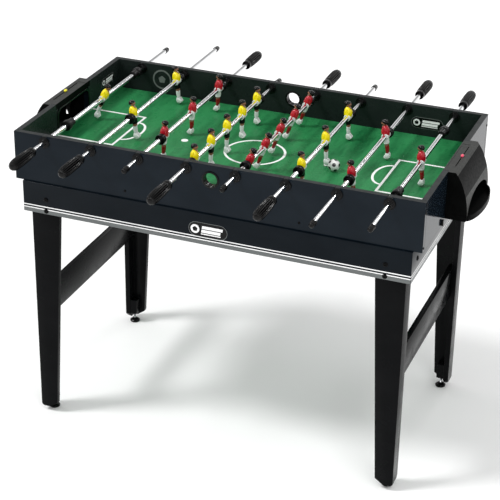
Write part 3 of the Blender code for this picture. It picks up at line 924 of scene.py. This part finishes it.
def apron_bands():
    """Silver and white foil lines along the lower edge of all four apron boards."""
    proud, sunk, short = 0.00015, 0.0004, 0.0006
    bm = bmesh.new()
    for low, high, slot in ((0.0006, 0.0112, 0), (0.0118, 0.0146, 1), (0.0192, 0.0220, 1)):
        lo, hi = APRON_LO.z + low, APRON_LO.z + high
        for side in (-1, 1):
            a, b = sorted((side * (APRON_HI.y + proud), side * (APRON_HI.y - sunk)))
            box(bm, (APRON_LO.x + short, a, lo), (APRON_HI.x - short, b, hi), slot)
            a, b = sorted((side * (APRON_HI.x + proud), side * (APRON_HI.x - sunk)))
            box(bm, (a, APRON_LO.y + short, lo), (b, APRON_HI.y - short, hi), slot)
    return solid(bm)


show("apron_lines", "table", apron_bands(), (SILVER, WHITE_LINE), slot="charcoal_laminate")


def leveler():
    """Foot disc with a moulded hex above it and a threaded stud."""
    top = FOOT_HI.z
    radius = (FOOT_HI.x - FOOT_LO.x) / 2
    bm = bmesh.new()
    lathe(
        bm,
        [(0, 0), (0, radius * 0.92), (0.0010, radius * 0.985), (0.0022, radius), (0.0046, radius),
         (0.0062, radius * 0.90), (0.0078, radius * 0.70), (0.0085, radius * 0.62), (0.0085, 0)],
        "Z", 40,
    )
    prism(bm, circle(0.0062, 6), "Z", 0.0080, 0.0125)
    thread = [(0.0120, 0.0), (0.0120, 0.0034)]
    pitch = 0.00125
    height = 0.0125
    while height < top - 0.001:
        thread += [(height, 0.0038), (height + pitch * 0.5, 0.0033)]
        height += pitch
    lathe(bm, [*thread, (top, 0.0030), (top, 0)], "Z", 24, 1)
    return solid(bm)


LEVELER = leveler()
for end in ("left", "right"):
    for side in ("front", "rear"):
        node = f"leg_{side}_{end}"
        show(
            f"{node}_boards", "table", cad_copy(node), (LEG,), bevel=0.0008,
            stands_for=(node,), slot="charcoal_laminate",
        )
        node = f"leveler_{side}_{end}"
        lo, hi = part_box(node)
        show(
            f"{node}_foot", f"foot_{side}_{end}", LEVELER, (PLASTIC, ZINC),
            at=((lo.x + hi.x) / 2, (lo.y + hi.y) / 2, lo.z), stands_for=(node,),
            slot="black_plastic",
        )
    node = f"stretcher_{end}"
    show(
        f"{node}_board", "table", cad_copy(node), (LEG,), bevel=0.0008,
        stands_for=(node,), slot="charcoal_laminate",
    )


# ---- players
def shoe(team, side):
    """Loops across one wedge-shaped shoe, its toe pointing the way the player faces."""
    profile = (
        (-0.0050, -0.0478), (-0.0062, -0.0520), (-0.0060, -0.0600), (-0.0030, -0.0632),
        (0.0015, -0.0640), (0.0062, -0.0632), (0.0092, -0.0610), (0.0104, -0.0580),
        (0.0086, -0.0548), (0.0062, -0.0520), (0.0040, -0.0478),
    )
    across = ((0.0001, 0.80), (0.0009, 0.97), (0.0040, 1.0), (0.0068, 0.96), (0.0080, 0.76))
    middle_x, middle_z = 0.0015, -0.0565
    loops = []
    for y, scale in across:
        loop = []
        for x, z in profile:
            x_in = middle_x + (x - middle_x) * scale
            z_in = middle_z + (z - middle_z) * scale
            loop.append((team * x_in, side * y, z_in))
        loops.append(loop)
    return loops


def man(team, kit):
    """Player with the rod axis through the waist at the origin, facing +X for team 1."""
    shirt, shorts, knee, sock, boot, flesh, hair, waist = range(8)
    hip = 0.0036
    bm = bmesh.new()

    def levels(rows):
        return [(z, team * shift, depth, width) for z, shift, depth, width in rows]

    loft(bm, levels([
        (-0.0032, 0, 0.0070, 0.0088), (-0.0020, 0, 0.0086, 0.0102), (0.0030, 0, 0.0100, 0.0116),
        (0.0085, 0.0002, 0.0108, 0.0128), (0.0130, 0.0003, 0.0109, 0.0130),
        (0.0175, 0.0002, 0.0101, 0.0123), (0.0220, 0, 0.0086, 0.0108), (0.0258, 0, 0.0064, 0.0084),
        (0.0282, 0, 0.0044, 0.0056), (0.0290, 0, 0.0030, 0.0036),
    ]), 28, shirt, 2.2)
    for y in (-1, 1):
        loft(bm, levels([
            (-0.0010, 0.0034, 0.0016, 0.0012), (0.0010, 0.0036, 0.0030, 0.0020),
            (0.0070, 0.0020, 0.0040, 0.0026), (0.0120, -0.0004, 0.0044, 0.0028),
            (0.0170, -0.0010, 0.0044, 0.0028), (0.0215, -0.0004, 0.0036, 0.0024),
            (0.0245, 0.0000, 0.0018, 0.0014),
        ]), 16, shirt, 2.0, y * 0.0102)
    loft(bm, levels([
        (-0.0208, 0, 0.0058, 0.0084), (-0.0205, 0, 0.0070, 0.0096), (-0.0180, 0, 0.0072, 0.0097),
        (-0.0100, 0, 0.0073, 0.0096), (-0.0020, 0, 0.0075, 0.0096),
    ]), 28, shorts, 2.4)
    for y in (-1, 1):
        loft(bm, levels([
            (-0.0300, -0.0002, 0.0040, 0.0036), (-0.0262, 0.0004, 0.0045, 0.0038),
            (-0.0200, 0, 0.0048, 0.0041),
        ]), 18, knee, 2.1, y * hip)
        loft(bm, levels([
            (-0.0470, -0.0006, 0.0034, 0.0030), (-0.0440, -0.0006, 0.0037, 0.0032),
            (-0.0370, -0.0008, 0.0045, 0.0037), (-0.0310, -0.0004, 0.0044, 0.0038),
            (-0.0285, -0.0002, 0.0047, 0.0040), (-0.0272, -0.0002, 0.0044, 0.0038),
        ]), 18, sock, 2.1, y * hip)
        skin(bm, shoe(team, y), boot)
    ring = [
        (-0.0125, ROD_R + 0.0004), (-0.0125, 0.0084), (-0.0118, 0.0092), (0.0118, 0.0092),
        (0.0125, 0.0084), (0.0125, ROD_R + 0.0004),
    ]
    tube(bm, ring, "Y", 36, waist)
    loft(bm, levels([
        (0.0262, 0.0008, 0.0040, 0.0042), (0.0285, 0.0010, 0.0036, 0.0036),
        (0.0302, 0.0012, 0.0042, 0.0040), (0.0318, 0.0015, 0.0062, 0.0057),
        (0.0345, 0.0015, 0.0076, 0.0068), (0.0380, 0.0011, 0.0077, 0.0070),
        (0.0410, 0.0004, 0.0066, 0.0060), (0.0428, 0.0000, 0.0040, 0.0038),
    ]), 24, flesh, 2.1)
    throat = [
        (team * 0.0101, 0.0, 0.0198), (team * 0.0080, 0.0030, 0.0258),
        (team * 0.0036, 0.0044, 0.0276),
    ]
    throat += [(x, -y, z) for x, y, z in reversed(throat[1:])]
    chin = [(x * 0.86, y * 0.8, z + 0.0022) for x, y, z in throat]
    skin(bm, [throat, chin], flesh)
    loft(bm, levels([
        (0.0325, -0.0040, 0.0042, 0.0058), (0.0345, -0.0030, 0.0062, 0.0074),
        (0.0368, -0.0014, 0.0078, 0.0080), (0.0388, -0.0002, 0.0088, 0.0080),
        (0.0408, -0.0003, 0.0082, 0.0074), (0.0425, -0.0007, 0.0064, 0.0060),
        (0.0435, -0.0010, 0.0040, 0.0038), (0.0438, -0.0010, 0.0018, 0.0018),
    ]), 24, hair, 2.1)
    nose = [(0.0332, 0.0086, 0.0009, 0.0012), (0.0346, 0.0091, 0.0011, 0.0011),
            (0.0362, 0.0086, 0.0008, 0.0008)]
    loft(bm, levels(nose), 10, flesh, 2.0)
    for y in (-1, 1):
        ear = [(0.0328, 0.0014, 0.0010, 0.0006), (0.0344, 0.0016, 0.0015, 0.0010),
               (0.0360, 0.0016, 0.0012, 0.0007)]
        loft(bm, levels(ear), 10, flesh, 2.0, y * 0.0071)
    mesh = solid(bm)
    for finish in kit:
        mesh.materials.append(finish)
    for polygon in mesh.polygons:
        polygon.use_smooth = True
    mesh.set_sharp_from_angle(angle=math.radians(40))
    return mesh


YELLOW_MAN = man(1, (YELLOW, BLACK_SHORTS, SKIN, WHITE_KIT, WHITE_KIT, SKIN, HAIR, WHITE_KIT))
RED_MAN = man(-1, (RED, WHITE_KIT, SKIN, RED_SOCK, WHITE_KIT, SKIN, HAIR, WHITE_KIT))


def leaning(mesh, degrees):
    copy = mesh.copy()
    copy.transform(Matrix.Rotation(math.radians(degrees), 4, "Y"))
    return copy


# ---- rods and handles
BUMPER_R = 0.0138
CAP_L = 0.022
COLLAR_L = 0.038
BUMPER_L = 0.015


def bumper():
    """Dished rubber stop, its thick lip away from the player."""
    bore = ROD_R + 0.0001
    section = [
        (0, bore), (0, 0.0118), (0.0010, 0.0130), (0.0045, 0.0132), (0.0070, 0.0116),
        (0.0085, 0.0116), (0.0105, BUMPER_R), (0.0140, BUMPER_R), (BUMPER_L, 0.0130),
        (BUMPER_L, 0.0112), (0.0132, 0.0100), (0.0132, bore),
    ]
    return built((tube, section, "Y", 48))


def collar():
    """Long goalkeeper stop: rubber disc towards the wall, sleeve towards the player."""
    bore = ROD_R + 0.0001
    section = [
        (0, bore), (0, 0.0098), (0.0010, 0.0106), (0.0190, 0.0108), (0.0205, 0.0122),
        (0.0225, 0.0136), (0.0250, BUMPER_R), (0.0350, BUMPER_R), (0.0372, 0.0132),
        (COLLAR_L, 0.0118), (COLLAR_L, bore),
    ]
    return built((tube, section, "Y", 48))


def end_cap():
    """Domed plastic plug, its mouth at y = 0 and its nose towards -Y."""
    profile = [
        (0, ROD_R), (0, 0.0080), (-0.0012, 0.0080), (-0.0020, 0.0076), (-0.0150, 0.0074),
        (-0.0186, 0.0066), (-0.0208, 0.0048), (-CAP_L, 0.0024), (-CAP_L, 0),
    ]
    bm = bmesh.new()
    lathe(bm, [(0, 0), *profile], "Y", 36)
    return solid(bm)


def grip():
    """Fluted handle towards -Y from its collar at y = 0, with rounded ends."""
    rows = (
        (0.0000, 0.0072, 0), (0.0000, 0.0110, 0), (0.0008, 0.0122, 0), (0.0025, 0.0127, 0),
        (0.0085, 0.0127, 0), (0.0105, 0.0120, 0), (0.0120, 0.0108, 0), (0.0140, 0.0106, 0),
        (0.0152, 0.0112, 0.0003), (0.0175, 0.0130, 0.0024), (0.0220, 0.0140, 0.0040),
        (0.0400, 0.0145, 0.0045), (0.0600, 0.0148, 0.0045), (0.0800, 0.0147, 0.0045),
        (0.0890, 0.0141, 0.0042), (0.0960, 0.0129, 0.0032), (0.1010, 0.0112, 0.0018),
        (0.1045, 0.0088, 0.0003), (0.1066, 0.0060, 0), (0.1078, 0.0028, 0), (0.1078, 0, 0),
    )
    bm = bmesh.new()
    profile = [(0, 0), *[(-along, radius) for along, radius, _ in rows]]
    lathe(bm, profile, "Y", 128, 0, (0, 0, 0), (16, [0, *[depth for _, _, depth in rows]]))
    return solid(bm)


def both_ways(mesh, way):
    """A mesh made to face one way along Y, and its mirror image for the other way."""
    return {way: mesh, -way: mirrored(mesh, y=-1)}


BUMPER = both_ways(bumper(), 1)
COLLAR = both_ways(collar(), 1)
CAP = both_ways(end_cap(), 1)
HANDLE = both_ways(grip(), -1)
GRUB = screw_head(0.0022, 0.0010)
COLLAR_Y = 0.1865        # a collar's near end from the goalkeeper
BUMPER_Y = 0.0135        # a bumper's near end from its player


for number, axis in AXES.items():
    slide = f"slide_rod_{number}"
    spin = f"spin_rod_{number}"
    node = f"rod_{number}"
    part_of_rod = {"stands_for": (node,), "slot": "chromed_steel"}
    rod_lo, rod_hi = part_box(node)
    grip_lo, grip_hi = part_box(f"handle_{number}")
    way = -1 if grip_hi.y < 0 else 1
    cap_end, buried = (rod_hi.y, rod_lo.y) if way < 0 else (rod_lo.y, rod_hi.y)
    cap_mouth = cap_end + way * CAP_L
    start, stop = sorted((cap_mouth - way * 0.010, buried))
    bar = [
        (start, 0), (start, ROD_R - 0.0006), (start + 0.0006, ROD_R), (stop - 0.0006, ROD_R),
        (stop, ROD_R - 0.0006), (stop, 0),
    ]
    bar_mesh = built((lathe, bar, "Y", 40, 0, (axis.x, 0, axis.z)))
    show(f"{node}_bar", slide, bar_mesh, (CHROME,), **part_of_rod)
    show(
        f"{node}_cap", slide, CAP[way], (PLASTIC,), at=(axis.x, cap_mouth, axis.z), **part_of_rod
    )
    places = [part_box(man_node) for man_node in MEN[number]]
    middles = sorted((lo.y + hi.y) / 2 for lo, hi in places)
    for end, edge, label in ((-1, middles[0], "front"), (1, middles[-1], "rear")):
        if len(middles) == 1:
            seat = axis.y + end * COLLAR_Y
            show(
                f"{node}_collar_{label}", slide, COLLAR[end], (RUBBER,),
                at=(axis.x, seat, axis.z), **part_of_rod,
            )
            grub = show(
                f"{node}_grub_{label}", slide, GRUB, (ZINC,),
                at=(axis.x, seat + end * 0.008, axis.z - 0.0105), slot="chromed_steel",
            )
            grub.rotation_euler = (math.pi / 2, 0, 0)
        else:
            show(
                f"{node}_bumper_{label}", slide, BUMPER[end], (RUBBER,),
                at=(axis.x, edge + end * BUMPER_Y, axis.z), **part_of_rod,
            )
    inner_end = grip_hi.y if way < 0 else grip_lo.y
    show(
        f"handle_{number}_grip", spin, HANDLE[way], (GRIP,), at=(axis.x, inner_end, axis.z),
        stands_for=(f"handle_{number}",), slot="black_grip",
    )
    yellow = number in YELLOW_RODS
    figure = leaning(YELLOW_MAN if yellow else RED_MAN, LEAN[number])
    for man_node, (lo, hi) in zip(MEN[number], places):
        show(
            f"{man_node}_figure", spin, figure, (), at=(axis.x, (lo.y + hi.y) / 2, axis.z),
            stands_for=(man_node,), slot="yellow_player" if yellow else "red_player",
        )

# ---- ball
ball = bmesh.new()
bmesh.ops.create_icosphere(ball, subdivisions=5, radius=(BALL_HI.z - BALL_LO.z) / 2)
bmesh.ops.translate(ball, verts=ball.verts[:], vec=(BALL_LO + BALL_HI) / 2)
show("ball_shell", "ball", solid(ball), (BALL,), smooth=60, stands_for=("ball",), slot="white_ball")


# ---- camera, floor and light
def camera():
    """Long lens from the front right and above, matching the picture's perspective."""
    azimuth, elevation, roll = math.radians(21.021), math.radians(26.886), math.radians(1.028)
    distance = 4.35
    target = Vector((-0.0100, 0.0023, 0.4628))
    away = Vector((
        math.sin(azimuth) * math.cos(elevation), -math.cos(azimuth) * math.cos(elevation),
        math.sin(elevation),
    ))
    right = Vector((0, 0, 1)).cross(away).normalized()
    up = away.cross(right)
    tilted = right * math.cos(roll) + up * math.sin(roll)
    upright = up * math.cos(roll) - right * math.sin(roll)
    lens = bpy.data.cameras.new("camera")
    lens.lens = 114.47
    lens.sensor_width = 36.0
    made = bpy.data.objects.new("camera", lens)
    pose = Matrix((tilted, upright, away)).transposed().to_4x4()
    pose.translation = target + away * distance
    made.matrix_world = pose
    bpy.context.scene.collection.objects.link(made)
    bpy.context.scene.camera = made


def softbox(name, at, size, power, aim=(0, 0, 0.7)):
    light = bpy.data.lights.new(name, "AREA")
    light.shape = "RECTANGLE"
    light.size, light.size_y = size
    light.energy = power
    made = bpy.data.objects.new(name, light)
    made.location = at
    made.rotation_euler = (Vector(aim) - Vector(at)).to_track_quat("-Z", "Y").to_euler()
    bpy.context.scene.collection.objects.link(made)


camera()
ground = built((prism, circle(14.0, 96), "Z", -0.02, -0.0005))
ground.materials.append(floor_finish())
ground_piece = bpy.data.objects.new("studio_floor", ground)
bpy.context.scene.collection.objects.link(ground_piece)


def studio():
    """Light low walls, a darker band, a bright soft ceiling and one key light."""
    world = bpy.data.worlds.new("studio")
    world.use_nodes = True
    tree = world.node_tree
    place = tree.nodes.new("ShaderNodeTexCoord")
    split = tree.nodes.new("ShaderNodeSeparateXYZ")
    ramp = tree.nodes.new("ShaderNodeValToRGB")
    steps = ((0.0, 1.0), (0.30, 0.95), (0.40, 0.35), (0.50, 0.35), (0.60, 0.85), (1.0, 0.85))
    for level, _ in steps[1:-1]:
        ramp.color_ramp.elements.new(level)
    for stop, (level, strength) in zip(ramp.color_ramp.elements, steps):
        stop.position = level
        stop.color = (strength, strength, strength, 1.0)
    tree.links.new(place.outputs["Generated"], split.inputs["Vector"])
    tree.links.new(split.outputs["Z"], ramp.inputs["Fac"])
    background = tree.nodes["Background"]
    background.inputs["Strength"].default_value = 1.0
    tree.links.new(ramp.outputs["Color"], background.inputs["Color"])
    bpy.context.scene.world = world
    light = bpy.data.lights.new("key", "SUN")
    light.energy = 1.7
    light.angle = math.radians(13)
    key = bpy.data.objects.new("key", light)
    key.rotation_euler = Vector((-0.62, -0.38, 1.0)).to_track_quat("Z", "Y").to_euler()
    bpy.context.scene.collection.objects.link(key)


studio()
bpy.context.scene.view_settings.view_transform = "Standard"
softbox("fill", (2.4, -2.6, 3.6), (2.0, 1.4), 40)
softbox("behind", (0.86, 3.75, 3.16), (0.5, 0.35), 13)
